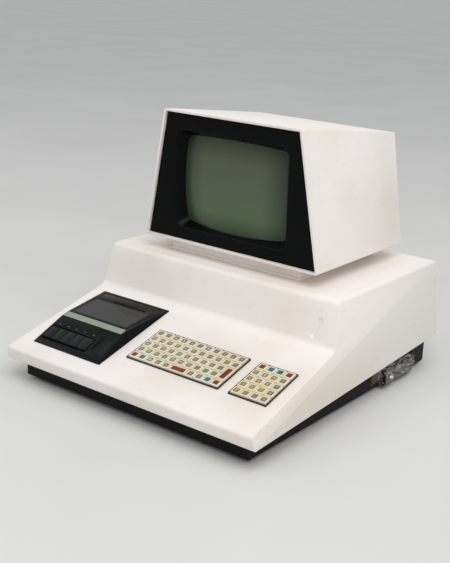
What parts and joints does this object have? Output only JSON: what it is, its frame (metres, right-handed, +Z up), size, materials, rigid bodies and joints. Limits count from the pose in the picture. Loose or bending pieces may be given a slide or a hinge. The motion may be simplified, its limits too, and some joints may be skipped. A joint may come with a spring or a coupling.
{
  "type": "vintage home computer",
  "caption": "One-piece desktop home computer: steel wedge case on a black tray, monitor on a plinth, small square keys with number pad, built-in cassette deck.",
  "frame": {"origin": "on the floor, under the middle of the machine", "axes": "+Z up, -Y towards the user, +X to the user's right"},
  "size_m": [0.419, 0.4614, 0.365],
  "materials": {
    "case_paint": "satin off-white paint on folded sheet steel",
    "tray_paint": "black semi-matt paint on sheet steel",
    "foot_rubber": "matt black rubber",
    "fascia_black": "glossy black moulding",
    "deck_black": "black moulding with a fine grain",
    "fitting_black": "plain black moulding",
    "smoked_window": "smoked glossy acrylic",
    "trim_silver": "brushed strip, bare of lettering",
    "tube_glass": "grey-green picture tube glass over its phosphor",
    "key_cream": "cream moulded keys with coloured squares",
    "frame_brown": "very dark brown moulding",
    "board_green": "green solder mask",
    "chip_black": "black epoxy packages",
    "bare_steel": "zinc-plated steel",
    "sink_aluminium": "plain extrusion",
    "core_iron": "varnished laminations and a taped winding",
    "can_blue": "blue sleeve on an aluminium can",
    "copper_winding": "varnished copper wire",
    "flyback_red": "potted winding on a ferrite core",
    "spindle_white": "off-white moulding",
    "belt_rubber": "flat rubber belt",
    "foil_grey": "dull crumpled foil"
  },
  "bodies": {
    "base": {"base_tray": "tray_paint", "feet": "foot_rubber", "main_board": "board_green", "logic_chips": "chip_black", "mains_transformer": "core_iron", "smoothing_capacitor": "can_blue", "regulator_heatsink": "sink_aluminium", "fuse_holder": "fitting_black", "mains_gland": "fitting_black", "power_switch_body": "fitting_black", "base_hinge_leaves": "bare_steel", "port_wrap": "foil_grey"},
    "lid": {"upper_case": "case_paint", "monitor_plinth": "case_paint", "monitor_housing": "case_paint", "monitor_rear_cover": "case_paint", "cover_screws": "bare_steel", "screen_bezel": "fascia_black", "picture_tube": "tube_glass", "deflection_yoke": "copper_winding", "tube_neck_board": "board_green", "monitor_board": "board_green", "flyback_transformer": "flyback_red", "main_key_frame": "frame_brown", "number_key_frame": "frame_brown", "keyboard_board": "board_green", "cassette_surround": "deck_black", "cassette_chassis": "bare_steel", "deck_trim_strip": "trim_silver", "tape_head": "bare_steel", "drive_motor": "bare_steel", "drive_belt": "belt_rubber", "lid_hinge_leaves": "bare_steel"},
    "prop": {"prop_rod": "bare_steel"},
    "cassette_lid": {"cassette_door": "deck_black", "door_window": "smoked_window"},
    "record_button": {"record_key": "deck_black"},
    "rewind_button": {"rewind_key": "deck_black"},
    "forward_button": {"forward_key": "deck_black"},
    "play_button": {"play_key": "deck_black"},
    "stop_button": {"stop_key": "deck_black"},
    "supply_reel": {"supply_spindle": "spindle_white"},
    "take_up_reel": {"take_up_spindle": "spindle_white"},
    "capstan": {"capstan_flywheel": "bare_steel"},
    "rocker": {"power_rocker": "fitting_black"},
    "knob": {"brightness_knob": "fitting_black"},
    "letters_1": {"letter_row_1": "key_cream"},
    "letters_2": {"letter_row_2": "key_cream"},
    "letters_3": {"letter_row_3": "key_cream"},
    "letters_4": {"letter_row_4": "key_cream"},
    "letters_5": {"letter_row_5": "key_cream"},
    "space_bar": {"space_key": "key_cream"},
    "return_bar": {"return_key": "key_cream"},
    "numbers_1": {"number_row_1": "key_cream"},
    "numbers_2": {"number_row_2": "key_cream"},
    "numbers_3": {"number_row_3": "key_cream"},
    "numbers_4": {"number_row_4": "key_cream"},
    "numbers_5": {"number_row_5": "key_cream"}
  },
  "joints": [
    {"name": "lid_hinge", "type": "hinge", "parent": "base", "child": "lid", "pos_m": [0, 0.22817, 0.05], "axis": [-1, 0, 0], "range_deg": [0, 45]},
    {"name": "prop_pivot", "type": "hinge", "parent": "base", "child": "prop", "pos_m": [-0.1805, 0.09867, 0.024], "axis": [-1, 0, 0], "range_deg": [0, 76.5]},
    {"name": "cassette_lid_hinge", "type": "hinge", "parent": "lid", "child": "cassette_lid", "pos_m": [-0.11975, -0.0755, 0.09286], "axis": [-1, 0, 0], "range_deg": [0, 45]},
    {"name": "record_press", "type": "hinge", "parent": "lid", "child": "record_button", "pos_m": [-0.1664, -0.15905, 0.0639], "axis": [1, 0, 0], "range_deg": [0, 8], "stiffness_Nm_per_rad": 0.5, "springref_deg": -5.73},
    {"name": "rewind_press", "type": "hinge", "parent": "lid", "child": "rewind_button", "pos_m": [-0.1504, -0.15905, 0.0639], "axis": [1, 0, 0], "range_deg": [0, 8], "stiffness_Nm_per_rad": 0.5, "springref_deg": -5.73},
    {"name": "forward_press", "type": "hinge", "parent": "lid", "child": "forward_button", "pos_m": [-0.1344, -0.15905, 0.0639], "axis": [1, 0, 0], "range_deg": [0, 8], "stiffness_Nm_per_rad": 0.5, "springref_deg": -5.73},
    {"name": "play_press", "type": "hinge", "parent": "lid", "child": "play_button", "pos_m": [-0.1184, -0.15905, 0.0639], "axis": [1, 0, 0], "range_deg": [0, 8], "stiffness_Nm_per_rad": 0.5, "springref_deg": -5.73},
    {"name": "stop_press", "type": "hinge", "parent": "lid", "child": "stop_button", "pos_m": [-0.1024, -0.15905, 0.0639], "axis": [1, 0, 0], "range_deg": [0, 8], "stiffness_Nm_per_rad": 0.5, "springref_deg": -5.73},
    {"name": "supply_turn", "type": "hinge", "parent": "lid", "child": "supply_reel", "pos_m": [-0.141, -0.10584, 0.06997], "axis": [0, -0.1375, 0.9905], "continuous": true},
    {"name": "take_up_turn", "type": "hinge", "parent": "lid", "child": "take_up_reel", "pos_m": [-0.0985, -0.10584, 0.06997], "axis": [0, -0.1375, 0.9905], "continuous": true},
    {"name": "capstan_turn", "type": "hinge", "parent": "lid", "child": "capstan", "pos_m": [-0.1006, -0.13793, 0.06552], "axis": [0, -0.1375, 0.9905], "continuous": true},
    {"name": "power_rock", "type": "hinge", "parent": "base", "child": "rocker", "pos_m": [-0.096, 0.22468, 0.027], "axis": [1, 0, 0], "range_deg": [-18, 0]},
    {"name": "brightness_turn", "type": "hinge", "parent": "lid", "child": "knob", "pos_m": [0.096, 0.20167, 0.202], "axis": [0, 1, 0], "range_deg": [-135, 135]},
    {"name": "letter_row_1_press", "type": "slide", "parent": "lid", "child": "letters_1", "axis": [0, 0.2736, -0.9618], "range_m": [0, 0.002], "stiffness_N_per_m": 300, "springref_m": -0.001},
    {"name": "letter_row_2_press", "type": "slide", "parent": "lid", "child": "letters_2", "axis": [0, 0.2736, -0.9618], "range_m": [0, 0.002], "stiffness_N_per_m": 300, "springref_m": -0.001},
    {"name": "letter_row_3_press", "type": "slide", "parent": "lid", "child": "letters_3", "axis": [0, 0.2736, -0.9618], "range_m": [0, 0.002], "stiffness_N_per_m": 300, "springref_m": -0.001},
    {"name": "letter_row_4_press", "type": "slide", "parent": "lid", "child": "letters_4", "axis": [0, 0.2736, -0.9618], "range_m": [0, 0.002], "stiffness_N_per_m": 300, "springref_m": -0.001},
    {"name": "letter_row_5_press", "type": "slide", "parent": "lid", "child": "letters_5", "axis": [0, 0.2736, -0.9618], "range_m": [0, 0.002], "stiffness_N_per_m": 300, "springref_m": -0.001},
    {"name": "space_press", "type": "slide", "parent": "lid", "child": "space_bar", "axis": [0, 0.2736, -0.9618], "range_m": [0, 0.002], "stiffness_N_per_m": 300, "springref_m": -0.001},
    {"name": "return_press", "type": "slide", "parent": "lid", "child": "return_bar", "axis": [0, 0.2736, -0.9618], "range_m": [0, 0.002], "stiffness_N_per_m": 300, "springref_m": -0.001},
    {"name": "number_row_1_press", "type": "slide", "parent": "lid", "child": "numbers_1", "axis": [0, 0.2736, -0.9618], "range_m": [0, 0.002], "stiffness_N_per_m": 300, "springref_m": -0.001},
    {"name": "number_row_2_press", "type": "slide", "parent": "lid", "child": "numbers_2", "axis": [0, 0.2736, -0.9618], "range_m": [0, 0.002], "stiffness_N_per_m": 300, "springref_m": -0.001},
    {"name": "number_row_3_press", "type": "slide", "parent": "lid", "child": "numbers_3", "axis": [0, 0.2736, -0.9618], "range_m": [0, 0.002], "stiffness_N_per_m": 300, "springref_m": -0.001},
    {"name": "number_row_4_press", "type": "slide", "parent": "lid", "child": "numbers_4", "axis": [0, 0.2736, -0.9618], "range_m": [0, 0.002], "stiffness_N_per_m": 300, "springref_m": -0.001},
    {"name": "number_row_5_press", "type": "slide", "parent": "lid", "child": "numbers_5", "axis": [0, 0.2736, -0.9618], "range_m": [0, 0.002], "stiffness_N_per_m": 300, "springref_m": -0.001}
  ],
  "couplings": [
    {"joint": "prop_pivot", "follows": "lid_hinge", "ratio": 1.6889}
  ]
}
